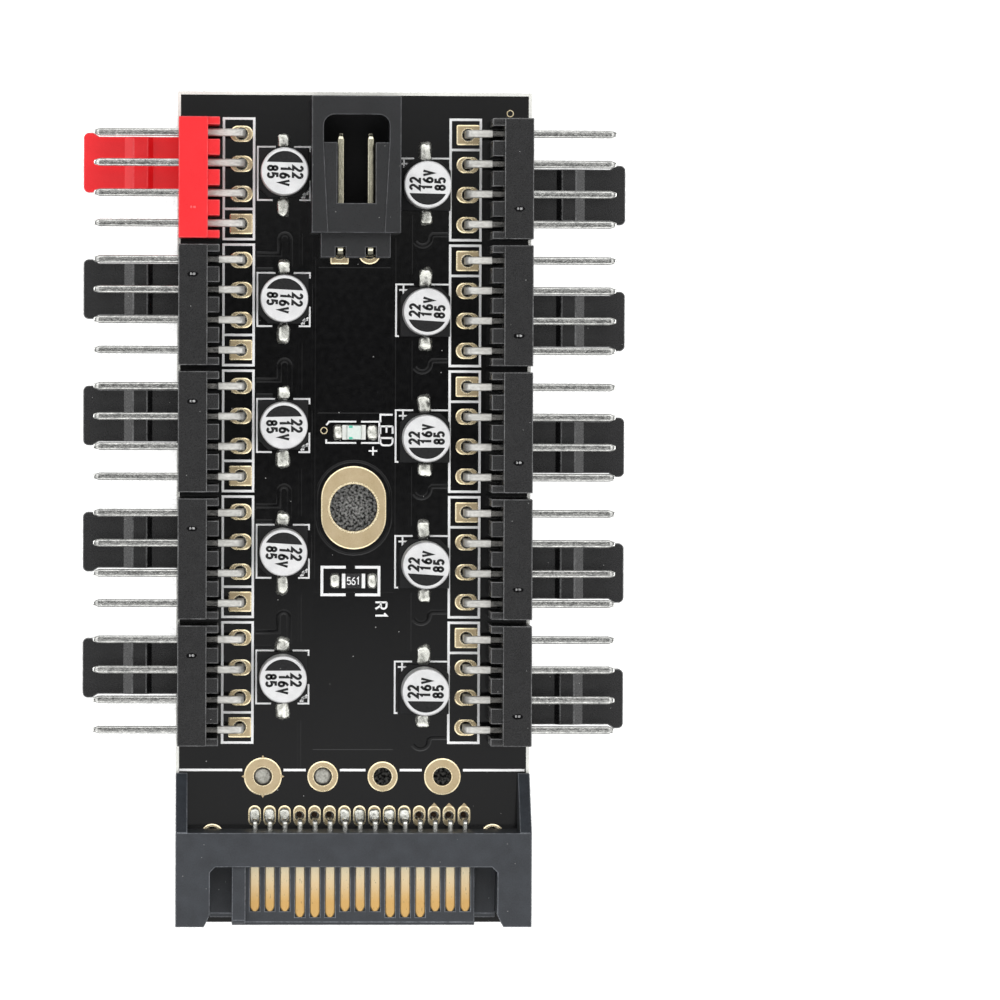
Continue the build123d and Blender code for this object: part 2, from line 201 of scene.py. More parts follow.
def mesh_from_bmesh(bm):
    mesh = bpy.data.meshes.new("mesh")
    bm.to_mesh(mesh)
    bm.free()
    return mesh


def add_mesh(bm, mesh):
    bm.from_mesh(mesh)
    bpy.data.meshes.remove(mesh)


def add_plate(bm, loops, low, high, edge=0.0):
    # A flat plate between two heights from one outline and any holes in it
    curve = bpy.data.curves.new("outline", "CURVE")
    curve.dimensions = "2D"
    curve.fill_mode = "BOTH"
    curve.extrude = (high - low) / 2 - edge
    curve.bevel_depth = edge
    curve.bevel_resolution = 0
    curve.offset = -edge
    for loop in loops:
        spline = curve.splines.new("POLY")
        spline.points.add(len(loop) - 1)
        for point, (x, y) in zip(spline.points, loop):
            point.co = (x, y, 0, 1)
        spline.use_cyclic_u = True
    holder = bpy.data.objects.new("outline", curve)
    mesh = bpy.data.meshes.new_from_object(holder)
    mesh.transform(Matrix.Translation((0, 0, (low + high) / 2)))
    add_mesh(bm, mesh)
    bpy.data.objects.remove(holder)
    bpy.data.curves.remove(curve)


def add_ridge(bm, points, width, slope, low, high, closed=False):
    # A low bank along the points: flat on top, with sloping sides
    outer = stroke(points, width, closed)
    inner = stroke(points, width - 2 * slope, closed)
    if closed:
        (outer_a, outer_b), (inner_a, inner_b) = outer, inner
    else:
        half = len(points)
        outer_a, outer_b = outer[0][:half], outer[0][half:][::-1]
        inner_a, inner_b = inner[0][:half], inner[0][half:][::-1]
    rings = []
    for a, b, c, d in zip(outer_a, inner_a, inner_b, outer_b):
        rings.append([(*a, low), (*b, high), (*c, high), (*d, low)])
    if closed:
        rings.append(rings[0])
    add_rings(bm, rings, not closed, not closed)


def add_letters(bm, text, height, x, y, turn, weight, low, high, advance, narrow=1.0):
    # Plain single-stroke lettering, as a plotter draws it
    place = Matrix.Translation((x, y, 0)) @ Matrix.Rotation(math.radians(turn), 4, "Z")
    start = -advance * (len(text) - 1) / 2
    for index, letter in enumerate(text):
        for line in LETTERS[letter]:
            closed = line[0] is True
            points = []
            for px, py in line[1:] if closed else line:
                along = start + index * advance + px * narrow
                point = place @ Vector((along * height, (py - 0.5) * height, 0))
                points.append((point.x, point.y))
            add_plate(bm, stroke(points, weight, closed), low, high)


def add_rings(bm, rings, cap_start=True, cap_end=True, materials=None):
    # Skin over rings of points, each ring with the same number of points
    rows = [[bm.verts.new(point) for point in ring] for ring in rings]
    for index, (a, b) in enumerate(zip(rows, rows[1:])):
        for i in range(len(a)):
            j = (i + 1) % len(a)
            face = bm.faces.new((a[i], a[j], b[j], b[i]))
            if materials:
                face.material_index = materials[index]
    if cap_start:
        face = bm.faces.new(rows[0][::-1])
        if materials:
            face.material_index = materials[0]
    if cap_end:
        face = bm.faces.new(rows[-1])
        if materials:
            face.material_index = materials[-1]
    return rows


def add_turned(bm, profile, x, y, steps=32, wobble=0.0, seed=0.0):
    # Solid of revolution about an upright axis; the profile starts and ends on the axis
    turn = 2 * math.pi / steps
    rings = []
    for radius, z in profile[1:-1]:
        ring = []
        for s in range(steps):
            angle = turn * s
            where = Vector((math.cos(angle), math.sin(angle), z * 2 + seed))
            r = radius * (1 + wobble * noise.noise(where * 1.7))
            ring.append((x + r * math.cos(angle), y + r * math.sin(angle), z))
        rings.append(ring)
    rows = add_rings(bm, rings, False, False)
    for ends, (_, z) in ((rows[0], profile[0]), (rows[-1], profile[-1])):
        centre = bm.verts.new((x, y, z))
        for i in range(steps):
            bm.faces.new((ends[i], ends[(i + 1) % steps], centre))


def add_mound(bm, x, y, width, length, height, seed, foot, rough=0.22):
    # Pillow on a flat foot, with a flat crown and an uneven skin
    steps, levels = 20, 6
    rings = []
    for level in range(levels):
        rise = math.radians(90 * level / (levels - 1))
        spread = 0.72 + 0.28 * math.cos(rise)
        ring = []
        for s in range(steps):
            angle = 2 * math.pi * s / steps
            c, d = math.cos(angle), math.sin(angle)
            square = (abs(c) ** 4 + abs(d) ** 4) ** -0.25
            lump = noise.noise(Vector((c * 1.4, d * 1.4, 0.3 * level + seed)))
            swell = noise.noise(Vector((c * 2, d * 2, seed + 9)))
            r = spread * square * (1 + rough * lump)
            z = foot + height * math.sin(rise) * (1 + 0.8 * rough * swell)
            ring.append((x + c * r * width / 2, y + d * r * length / 2, z))
        rings.append(ring)
    add_rings(bm, rings)


def piece(name, bm, materials, replaced=(), smooth=27.0):
    # A finished piece in metres that moves with the hub
    bmesh.ops.remove_doubles(bm, verts=bm.verts, dist=1e-5)
    bmesh.ops.recalc_face_normals(bm, faces=bm.faces)
    for face in bm.faces:
        face.smooth = True
    for edge in bm.edges:
        edge.smooth = len(edge.link_faces) == 2 and edge.calc_face_angle() < math.radians(smooth)
    mesh = mesh_from_bmesh(bm)
    if "custom_normal" in mesh.attributes:
        mesh.attributes.remove(mesh.attributes["custom_normal"])
    mesh.transform(Matrix.Scale(MM, 4))
    mesh.name = name
    for material in materials:
        mesh.materials.append(material)
    obj = bpy.data.objects.new(name, mesh)
    bpy.context.scene.collection.objects.link(obj)
    weighted = obj.modifiers.new("normals", "WEIGHTED_NORMAL")
    weighted.keep_sharp = True
    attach(obj, BODY)
    if replaced:
        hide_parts(*replaced)
    return obj


def rounded_copy(node, width, segments=4, edge=0):
    # The solid's own shape with its outer edges softened; edge is the material slot of the softened faces
    bm = bmesh.new()
    bm.from_mesh(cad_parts[node].data)
    bmesh.ops.scale(bm, vec=(1 / MM, 1 / MM, 1 / MM), verts=bm.verts)
    bmesh.ops.remove_doubles(bm, verts=bm.verts, dist=1e-3)
    bmesh.ops.dissolve_limit(bm, angle_limit=math.radians(1), verts=bm.verts, edges=bm.edges)
    limit = math.radians(SHARP_ANGLE)
    outward = [e for e in bm.edges if len(e.link_faces) == 2 and e.is_convex]
    sharp = [e for e in outward if e.calc_face_angle() > limit]
    for face in bm.faces:
        face.material_index = 0
    made = bmesh.ops.bevel(bm, geom=sharp, offset=width, offset_type="OFFSET", segments=segments, profile=0.5,
                           affect="EDGES", clamp_overlap=False)
    for face in made["faces"]:
        face.material_index = edge
    return bm


def paint_new(bm, known, slot):
    # Gives every face that isn't among the known ones the material slot
    for face in bm.faces:
        if face not in known:
            face.material_index = slot


# Materials

def shader(name):
    material = bpy.data.materials.new(name)
    material.use_nodes = True
    nodes = material.node_tree.nodes
    return material, nodes, material.node_tree.links, nodes["Principled BSDF"]


def grain_noise(nodes, links, grain, stretch=(1, 1, 1), detail=4.0):
    # Noise whose features are about the given size in millimetres
    where = nodes.new("ShaderNodeTexCoord")
    mapping = nodes.new("ShaderNodeMapping")
    mapping.inputs["Scale"].default_value = stretch
    links.new(where.outputs["Object"], mapping.inputs["Vector"])
    texture = nodes.new("ShaderNodeTexNoise")
    texture.inputs["Scale"].default_value = 1 / (grain * MM)
    texture.inputs["Detail"].default_value = detail
    links.new(mapping.outputs["Vector"], texture.inputs["Vector"])
    return texture.outputs["Fac"]


def mapped(nodes, links, value, low, high, start=0.3, end=0.7):
    node = nodes.new("ShaderNodeMapRange")
    node.inputs["From Min"].default_value = start
    node.inputs["From Max"].default_value = end
    node.inputs["To Min"].default_value = low
    node.inputs["To Max"].default_value = high
    links.new(value, node.inputs["Value"])
    return node.outputs["Result"]


def two_tone(nodes, links, value, dark, light, start=0.3, end=0.7):
    ramp = nodes.new("ShaderNodeValToRGB")
    ramp.color_ramp.elements[0].position = start
    ramp.color_ramp.elements[0].color = (*dark, 1)
    ramp.color_ramp.elements[1].position = end
    ramp.color_ramp.elements[1].color = (*light, 1)
    links.new(value, ramp.inputs["Fac"])
    return ramp.outputs["Color"]


def worked(nodes, links, operation, *values):
    # One sum, each of whose values is a socket or a number
    node = nodes.new("ShaderNodeMath")
    node.operation = operation
    for slot, value in zip(node.inputs, values):
        if isinstance(value, float):
            slot.default_value = value
        else:
            links.new(value, slot)
    return node.outputs["Value"]


def bumped(nodes, links, bsdf, value, depth, strength=1.0):
    bump = nodes.new("ShaderNodeBump")
    bump.inputs["Distance"].default_value = depth * MM
    bump.inputs["Strength"].default_value = strength
    links.new(value, bump.inputs["Height"])
    links.new(bump.outputs["Normal"], bsdf.inputs["Normal"])


DUST = (0.35, 0.35, 0.34)
DUST_SPREAD = 30


def dusted(nodes, links, colour, size):
    # A few pale specks of dust, of about the given size in millimetres
    where = nodes.new("ShaderNodeTexCoord")
    cells = nodes.new("ShaderNodeTexVoronoi")
    cells.inputs["Scale"].default_value = 1 / (DUST_SPREAD * size * MM)
    links.new(where.outputs["Object"], cells.inputs["Vector"])
    near = worked(nodes, links, "LESS_THAN", cells.outputs["Distance"], 1 / DUST_SPREAD)
    mix = nodes.new("ShaderNodeMix")
    mix.data_type = "RGBA"
    mix.inputs["B"].default_value = (*DUST, 1)
    links.new(near, mix.inputs["Factor"])
    links.new(colour, mix.inputs["A"])
    return mix.outputs["Result"]


def surface(name, dark, light, rough, grain, depth, metallic=0.0, stretch=(1, 1, 1), wide=3.0,
            specular=0.5, specks=0):
    # Two tones of colour in broad patches, with a fine grain in gloss and height
    material, nodes, links, bsdf = shader(name)
    patches = grain_noise(nodes, links, wide, stretch)
    fine = grain_noise(nodes, links, grain, stretch)
    half = worked(nodes, links, "MULTIPLY", patches, 0.5)
    mixed = worked(nodes, links, "MULTIPLY_ADD", fine, 0.5, half)
    colour = two_tone(nodes, links, mixed, dark, light)
    if specks:
        colour = dusted(nodes, links, colour, specks)
    links.new(colour, bsdf.inputs["Base Color"])
    links.new(mapped(nodes, links, fine, *rough), bsdf.inputs["Roughness"])
    bsdf.inputs["Metallic"].default_value = metallic
    bsdf.inputs["Specular IOR Level"].default_value = specular
    bumped(nodes, links, bsdf, fine, depth)
    return material


def srgb(red, green, blue):
    def linear(value):
        value /= 255
        return value / 12.92 if value <= 0.04045 else ((value + 0.055) / 1.055) ** 2.4
    return linear(red), linear(green), linear(blue)


fibre = surface("fibre_edge", srgb(230, 230, 222), srgb(250, 250, 246), (0.6, 0.85), 0.06, 0.01, wide=0.8)
mask_black = surface("mask_black", srgb(6, 6, 7), srgb(11, 11, 12), (0.08, 0.11), 0.5, 0.0002,
                     wide=6.0, specks=0.05)
print_white = surface("print_white", srgb(246, 247, 247), srgb(255, 255, 255), (0.5, 0.7), 0.08, 0.006,
                      wide=1.0)
gold_pad = surface("gold_pad", srgb(168, 149, 112), srgb(190, 172, 140), (0.34, 0.5), 0.10, 0.004, 0.5,
                   wide=1.2)
# Pale gold for the lips round the holes: painted highlight on the plated lip
gold_rim_highlight = surface("gold_rim_highlight", srgb(236, 216, 170), srgb(250, 238, 206), (0.2, 0.34), 0.10, 0.003, 0.8,
                   wide=1.0)
tin = surface("tin", srgb(132, 133, 132), srgb(242, 242, 238), (0.1, 0.2), 0.1, 0.004, 1.0,
              stretch=(0.5, 1, 1), wide=0.3)
tin_matte = surface("tin_matte", srgb(164, 163, 158), srgb(220, 219, 214), (0.32, 0.44), 0.14, 0.004,
                    0.45, stretch=(0.4, 1, 1), wide=0.5)
# Darker tin for the pins beside the housings: painted shade of the slots between the ribs
tin_painted_shade = surface("tin_painted_shade", srgb(62, 63, 63), srgb(124, 122, 118), (0.2, 0.36), 0.2, 0.004, 1.0,
                   stretch=(0.5, 1, 1), wide=0.6)
leg_metal = surface("leg_metal", srgb(150, 150, 146), srgb(232, 232, 226), (0.14, 0.28), 0.2, 0.006,
                    1.0, wide=0.5)
brassy = surface("brassy", srgb(164, 160, 138), srgb(236, 231, 208), (0.1, 0.2), 0.12, 0.003, 1.0,
                 stretch=(1, 0.2, 1), wide=0.9)
solder = surface("solder", srgb(172, 173, 164), srgb(230, 230, 224), (0.2, 0.34), 0.22, 0.012, 0.85,
                 wide=0.6)
solder_dull = surface("solder_dull", srgb(96, 94, 86), srgb(196, 195, 186), (0.34, 0.5), 0.16, 0.02,
                      0.6, wide=0.5)
red_plastic = surface("red_plastic", srgb(228, 28, 36), srgb(242, 40, 47), (0.28, 0.4), 0.08, 0.004,
                      wide=3.0, specular=0.3)
black_plastic = surface("black_plastic", srgb(13, 13, 14), srgb(30, 30, 31), (0.22, 0.34), 0.09, 0.004,
                        wide=1.2, specular=0.4, specks=0.035)
plug_plastic = surface("plug_plastic", srgb(32, 35, 40), srgb(52, 56, 62), (0.4, 0.56), 0.12, 0.007,
                       wide=1.4, specular=0.4, specks=0.03)
shroud_plastic = surface("shroud_plastic", srgb(12, 13, 15), srgb(26, 27, 30), (0.26, 0.4), 0.08,
                         0.004, wide=2.0, specular=0.4, specks=0.03)
# Near-black plastic for the floor inside the control shroud: painted shade of the recess
shroud_painted_shade = surface("shroud_painted_shade", srgb(5, 5, 6), srgb(9, 9, 10), (0.6, 0.75), 0.08, 0.004,
                        wide=2.0, specular=0.15)
can_metal = surface("can_metal", srgb(190, 190, 191), srgb(220, 220, 220), (0.36, 0.52), 0.07, 0.004,
                    0.5, wide=0.9)
can_ink = surface("can_ink", srgb(8, 8, 9), srgb(36, 36, 37), (0.45, 0.6), 0.07, 0.01, wide=0.2,
                  specular=0.2, specks=0.03)
base_plastic = surface("base_plastic", srgb(11, 11, 12), srgb(24, 24, 26), (0.45, 0.6), 0.07, 0.005,
                       wide=1.5, specular=0.25)
chip_white = surface("chip_white", srgb(226, 229, 224), srgb(246, 247, 243), (0.4, 0.6), 0.08, 0.004,
                     wide=0.6)
chip_end = surface("chip_end", srgb(216, 217, 216), srgb(244, 244, 243), (0.34, 0.5), 0.1, 0.006, 0.6,
                   wide=0.5)
lens_clear = surface("lens_clear", srgb(220, 234, 227), srgb(242, 248, 243), (0.12, 0.22), 0.2, 0.002,
                     wide=0.7)
led_mark = surface("led_mark", srgb(60, 190, 160), srgb(110, 220, 190), (0.3, 0.45), 0.08, 0.003, wide=0.5)
resistor_glass = surface("resistor_glass", srgb(16, 16, 17), srgb(28, 28, 30), (0.2, 0.34), 0.1, 0.003,
                         wide=0.5)
# Dark brown gold for the hole barrels and the solder inside the holes: painted shade
gold_in_painted_shade = surface("gold_in_painted_shade", srgb(40, 26, 14), srgb(84, 58, 32), (0.3, 0.5), 0.1, 0.004, 0.6,
                      wide=0.6)
# Paler copies of the plastics for the softened edges: painted highlight along the rounded edges
black_edge_highlight = surface("black_edge_highlight", srgb(22, 22, 23), srgb(126, 126, 127), (0.3, 0.45), 0.16, 0.004,
                     wide=0.9, specular=0.4)
shroud_edge_highlight = surface("shroud_edge_highlight", srgb(14, 15, 17), srgb(94, 95, 98), (0.3, 0.45), 0.2, 0.004,
                      wide=1.2, specular=0.4)
red_edge_highlight = surface("red_edge_highlight", srgb(232, 34, 42), srgb(248, 92, 96), (0.28, 0.4), 0.16, 0.004,
                   wide=0.9, specular=0.3)
plug_edge_highlight = surface("plug_edge_highlight", srgb(36, 39, 44), srgb(120, 124, 130), (0.4, 0.5), 0.2, 0.006,
                    wide=1.2, specular=0.4)
# Near-black patch for the gate scars: a real scar, its darkness painted shade of the crater
black_scar_and_shade = surface("black_scar_and_shade", srgb(3, 3, 4), srgb(14, 14, 15), (0.5, 0.7), 0.1, 0.02, wide=0.3,
                     specular=0.05)
black_break = surface("black_break", srgb(70, 70, 71), srgb(196, 196, 196), (0.3, 0.5), 0.1, 0.02, wide=0.3)
red_break = surface("red_break", srgb(240, 60, 66), srgb(250, 120, 122), (0.3, 0.5), 0.1, 0.02, wide=0.3)


def blade_gold_and_sheen(name, pale, deep, start, end):
    # Gold on the contact blades, pale at the root and deep at the tips, from one y to the other in
    # millimetres: partly selective plating, partly a painted reflection in the pale part
    material, nodes, links, bsdf = shader(name)
    where = nodes.new("ShaderNodeTexCoord")
    parts = nodes.new("ShaderNodeSeparateXYZ")
    links.new(where.outputs["Object"], parts.inputs["Vector"])
    along = mapped(nodes, links, parts.outputs["Y"], 0.0, 1.0, start * MM, end * MM)
    streaks = grain_noise(nodes, links, 0.12, (1, 0.2, 1))
    uneven = worked(nodes, links, "MULTIPLY_ADD", streaks, 0.3, along)
    colour = two_tone(nodes, links, uneven, pale, deep, 0.15, 1.15)
    links.new(colour, bsdf.inputs["Base Color"])
    links.new(mapped(nodes, links, streaks, 0.26, 0.42), bsdf.inputs["Roughness"])
    bsdf.inputs["Metallic"].default_value = 0.5
    bumped(nodes, links, bsdf, streaks, 0.002)
    return material


gold_blade_and_sheen = blade_gold_and_sheen("gold_blade_and_sheen", srgb(226, 218, 189), srgb(200, 160, 96), -29.7, -33.8)


# Circuit board: glass-fibre core, dark mask on both faces, plated holes

lead_holes = []
for side, number in ports:
    for dy in pin_ys:
        lead_holes.append((side * hole_x, row_y(number) + dy, PIN_HOLE / 2))
control_holes = [(x, control_hole_y, PIN_HOLE / 2) for x in control_xs]
leg_holes = [(x, leg_hole_y, LEG_HOLE / 2) for x in leg_xs]
power_holes = [(x, power_y, POWER_HOLE / 2) for x in power_xs]
peg_holes = [(x, y, PEG_HOLE / 2) for x, y in peg_spots]
via_spots = [(13.16, 33.46), (-2.54, 6.54)]
mount_hole = [(0.0, 0.0, MOUNT_HOLE / 2)]
all_holes = lead_holes + control_holes + leg_holes + power_holes + peg_holes + mount_hole
board_size = board_high - board_low


def hole_circle(x, y, radius, grow=0.0):
    return circle(x, y, radius + grow, 64 if radius > 1 else 24)


def hole_loops(grow):
    return [hole_circle(*hole, grow) for hole in all_holes]


core = bmesh.new()
outer = rectangle(0, 0, board_size.x, board_size.y)
add_plate(core, [outer] + hole_loops(PLATING), MASK, top - MASK)
piece("board_core", core, [fibre], ("pcb",))

mask_loop = rectangle(0, -MASK_MARGIN / 2, board_size.x - 2 * MASK_MARGIN, board_size.y - MASK_MARGIN)
for name, low in (("mask_top", top - MASK), ("mask_bottom", 0.0)):
    layer = bmesh.new()
    add_plate(layer, [mask_loop] + hole_loops(PLATING), low, low + MASK)
    piece(name, layer, [mask_black])

# Hole barrels in the dark gold: painted shade inside the holes
barrels = bmesh.new()
for hole in all_holes:
    add_plate(barrels, [hole_circle(*hole, PLATING), hole_circle(*hole)], 0.0, top)
piece("hole_plating", barrels, [gold_in_painted_shade])

# Copper under the mask, seen as low ridges

TRACE = 0.42
RIDGE_SLOPE = 0.09
RIDGE = 0.0095
relief = bmesh.new()


def ridge(points, width=TRACE, closed=False):
    add_ridge(relief, points, width, RIDGE_SLOPE, top, top + RIDGE, closed)


for side, number in ports:
    y = row_y(number)
    last_row = number % ROWS == 0
    if side < 0:
        if not last_row:
            ridge([(-8.3, y - 6.35), (-6.35, y - 6.35), (-6.35, y - 5.1)] + arc(-5.9, y - 5.1, 0.45, 165, 0)
                  + [(-5.45, y - 7.4)])
            ridge([(-8.3, y - 7.7), (-6.9, y - 7.7)])
        ridge([(-4.55, y - 3.2), (-4.55, y - 7.2)], 0.3)
    else:
        ridge([(8.0, y - 4.65), (6.65, y - 4.65), (6.5, y - 4.8)] + arc(5.75, y - 4.9, 0.72, 0, -150))
        if not last_row:
            ridge([(4.78, y - 3.0), (4.78, y - 8.0)], 0.3)
ridge(rectangle(0.0, 0.0, 6.3, 7.9, 3.1, 8), 0.22, True)
for x in (-3.43, 3.38):
    ridge([(x, 22.9), (x, -6.0)], 0.3)
for y, width, length in ((14.2, 6.1, 12.4), (-13.86, 6.8, 13.4)):
    ridge([(-width / 2, y), (width / 2, y)], length)
piece("trace_relief", relief, [mask_black])

# Bare plated pads

pads = bmesh.new()
rims = bmesh.new()
pad_high = top + COPPER
PAD_EDGE = 0.012
PAD_SLOPE = 0.1
RIM = 0.1
RIM_RISE = 0.015
MOUNT_PAD = (0, 0, 5.5, 7.05, 2.74, 16)


def add_pad(outline, inset, hole):
    # Plated pad round a hole: flat face in from the outline, and its edge rolling down to the board
    add_plate(pads, [inset, hole], top, pad_high)
    rolled = [[(*point, top) for point in outline], [(*point, pad_high) for point in inset]]
    add_rings(rims, rolled, False, False)


def pad_outlines(x, y, width, height, radius, steps):
    less = 2 * PAD_SLOPE
    inner = rectangle(x, y, width - less, height - less, max(radius - PAD_SLOPE, 0.02), steps)
    return rectangle(x, y, width, height, radius, steps), inner


for side, number in ports:
    y = row_y(number)
    square_y = side * pin_ys[-1]
    for dy in pin_ys:
        spot = (side * hole_x, y + dy)
        shape = (1.95, 1.7, 0.12, 2) if dy == square_y else (1.95, 1.36, 0.67, 8)
        add_pad(*pad_outlines(*spot, *shape), circle(*spot, PIN_HOLE / 2))
for x in control_xs:
    spot = (x, control_hole_y)
    shape = (1.55, 1.9, 0.12, 2) if x < 0 else (1.9, 1.9, 0.94, 8)
    add_pad(*pad_outlines(*spot, *shape), circle(*spot, PIN_HOLE / 2))
for x, diameter in zip(power_xs, (3.2, 2.6, 2.55, 3.1)):
    shape = (diameter, diameter, diameter / 2 - 0.01, 12)
    add_pad(*pad_outlines(x, power_y, *shape), circle(x, power_y, POWER_HOLE / 2))
for angle in (0, 90, 180, 270):
    nib = Matrix.Rotation(math.radians(angle), 2)
    corners = [nib @ Vector(corner) for corner in ((-0.16, 1.55), (0.16, 1.55), (0.0, 1.82))]
    add_plate(pads, [[(power_xs[0] + c.x, power_y + c.y) for c in corners]], top, pad_high)
for leg, x in enumerate(leg_xs):
    add_pad(*pad_outlines(x, leg_hole_y, 1.06, 1.75, 0.52, 8), circle(x, leg_hole_y, LEG_HOLE / 2))
    if leg >= LEGS - 3:
        foot_y = leg_hole_y + 0.8
        add_plate(pads, [[(x - 0.3, foot_y), (x + 0.3, foot_y), (x, leg_hole_y + 1.12)]], top, pad_high)
for x, y in peg_spots:
    add_pad(*pad_outlines(x, y, 1.98, 1.98, 0.98, 8), circle(x, y, PEG_HOLE / 2))
add_pad(*pad_outlines(*MOUNT_PAD), circle(0, 0, 2.1, 64))
piece("pads_top", pads, [gold_pad])

# Lips round the holes in the pale gold, a painted highlight
for hole in lead_holes + control_holes + leg_holes + power_holes + peg_holes:
    add_plate(rims, [hole_circle(*hole, RIM), hole_circle(*hole)], top, pad_high + RIM_RISE, PAD_EDGE)
for x, y in via_spots:
    add_plate(rims, [circle(x, y, 0.31), circle(x, y, 0.22)], top, pad_high, PAD_EDGE)
add_plate(rims, [circle(0, 0, 2.2, 64), circle(0, 0, MOUNT_HOLE / 2, 64)], top, pad_high + 0.02, 0.02)
piece("hole_rims", rims, [gold_rim_highlight])

under = bmesh.new()
for x, y, radius in lead_holes + control_holes:
    add_plate(under, [circle(x, y, 0.95), circle(x, y, radius)], -COPPER, 0.0, PAD_EDGE)
for x, y, radius in leg_holes:
    add_plate(under, [rectangle(x, y, 1.0, 1.6, 0.49, 8), circle(x, y, radius)], -COPPER, 0.0, PAD_EDGE)
for x, y, radius in power_holes:
    add_plate(under, [circle(x, y, 1.4, 32), circle(x, y, radius)], -COPPER, 0.0, PAD_EDGE)
mount_ring = [rectangle(*MOUNT_PAD), circle(0, 0, MOUNT_HOLE / 2, 64)]
add_plate(under, mount_ring, -COPPER, 0.0, PAD_EDGE)
piece("pads_bottom", under, [gold_pad])

# White print on the board

LINE = 0.21
FINE_LINE = 0.15
BOLD_LINE = 0.24
INK_SHIFT = -0.21
LED_X, LED_Y = 0.0, 6.4
RESISTOR_Y = -6.2
ink = bmesh.new()
ink_high = top + PRINT


def ink_line(points, width=LINE):
    add_plate(ink, stroke(points, width), top, ink_high, INK_EDGE)


for side, number in ports:
    y = row_y(number)
    x = side * hole_x + INK_SHIFT
    half_w, half_h = 1.28, 5.1
    split = y + side * PITCH
    gap = LINE / 2
    upper = (split + gap, y + half_h - gap)
    lower = (y - half_h + gap, split - gap)
    cells = [rectangle(x, (a + b) / 2, 2 * half_w - LINE, b - a) for a, b in (upper, lower)]
    border = rectangle(x, y, 2 * half_w + LINE, 2 * half_h + LINE)
    add_plate(ink, [border] + cells, top, ink_high, INK_EDGE)
    if side > 0:
        cap_x, cap_y = 5.74, y - 0.39
        paths = ([(-0.72, 2.19), (-2.2, 2.19), (-2.2, -2.19), (-1.95, -2.19)], [(0.75, 2.19), (2.3, 2.19)])
        plus = (cap_x - 1.58, cap_y + 1.72)
    else:
        cap_x, cap_y = -6.0, y + 0.47
        paths = ([(-0.7, 2.25), (-2.22, 2.25), (-2.22, -2.25), (-0.95, -2.25)],
                 [(0.85, 2.25), (2.22, 2.25), (2.22, 1.8)],
                 [(1.3, -2.25), (2.22, -2.25), (2.22, -0.6)], [(1.5, -2.1), (2.1, -1.5)])
        plus = (cap_x + 1.72, cap_y - 1.72)
    for path in paths:
        ink_line([(cap_x + px, cap_y + py) for px, py in path], FINE_LINE)
    ink_line([(plus[0] - 0.36, plus[1]), (plus[0] + 0.36, plus[1])], FINE_LINE)
    for end in (-1, 1):
        ink_line([(plus[0], plus[1] + end * FINE_LINE / 2), (plus[0], plus[1] + end * 0.38)], FINE_LINE)
clear = zip(power_xs, (1.75, 1.45, 1.45, 1.75))
edges = [-14.7] + [x + d * r for x, r in clear for d in (-1, 1)] + [14.6]
for start, end in zip(edges[::2], edges[1::2]):
    ink_line([(start, power_y + 0.55), (end, power_y + 0.55)])
for path in ([(0.2, 0.9), (-2.1, 0.9), (-2.35, 0.6)], [(-2.35, -0.6), (-2.35, -0.9), (0.2, -0.9)],
             [(0.6, 0.9), (2.15, 0.9), (2.15, -0.9), (0.6, -0.9)]):
    ink_line([(LED_X + x, LED_Y + y) for x, y in path], FINE_LINE)
frame_x, frame_y = -0.25, -6.22
for side in (-1, 1):
    path = [(0.4, 1.17), (2.42, 1.17), (2.42, -1.17), (0.4, -1.17)]
    ink_line([(frame_x + side * x, frame_y + y) for x, y in path], BOLD_LINE)
add_letters(ink, "LED", 1.04, 2.76, 6.6, -90, 0.16, top, ink_high, 0.95)
add_letters(ink, "R1", 0.94, 2.35, -8.72, -90, 0.16, top, ink_high, 0.88)
add_letters(ink, "+", 1.05, 1.62, 4.82, 0, 0.13, top, ink_high, 1.0)
piece("board_print", ink, [print_white], smooth=30)

# Fan headers: moulded housings and bent pins

GATE_X = 13.7
GATE_WIDE, GATE_HIGH = 0.46, 0.22
for side, number in ports:
    housing = rounded_copy(f"fan_header_{number}", MOULDING_ROUND, edge=1)
    crown = node_box(f"fan_header_{number}")[1].z
    gate_x = side * GATE_X
    gate_y = row_y(number) + (-PITCH if number == 1 else -side * PITCH)
    ragged = []
    for s in range(20):
        angle = 2 * math.pi * s / 20
        reach = 1 + 0.25 * noise.noise(Vector((math.cos(angle) * 2, math.sin(angle) * 2, number)))
        ragged.append((gate_x + GATE_WIDE * reach * math.cos(angle),
                       gate_y + GATE_HIGH * reach * math.sin(angle)))
    # The gate scar, a thin ragged patch on the top in slot 2, darkened as painted shade of its crater
    known = set(housing.faces)
    add_plate(housing, [ragged], crown - 0.02, crown + 0.006)
    paint_new(housing, known, 2)
    known = set(housing.faces)
    for shift, width in ((-0.14, 0.16), (0.12, 0.24)):
        add_mound(housing, gate_x + shift, gate_y + 0.03, width, 0.2, 0.07, number + shift, crown, 0.3)
    paint_new(housing, known, 3)
    # Slot 1 is the softened edges' paler plastic, a painted highlight
    if number == 1:
        looks, slot = [red_plastic, red_edge_highlight, red_plastic, red_break], "red_nylon"
    else:
        looks, slot = [black_plastic, black_edge_highlight, black_scar_and_shade, black_break], "black_nylon"
    piece(f"header_housing_{number}", housing, looks, (f"fan_header_{number}",))


PIN_CORNER = 0.13
PIN_BEND = 0.36
# The pins' stretch between the housing's ribs, in millimetres from the hole, whose tin is darkened as painted
# shade
RIB_REACH = (2.85, 1.9)


def pin_section(centre, across, up, half, corner=PIN_CORNER):
    # Ring of a square pin's section, its corners rounded off
    return [tuple(centre + across * a + up * b) for a, b in rectangle(0, 0, 2 * half, 2 * half, corner, 3)]


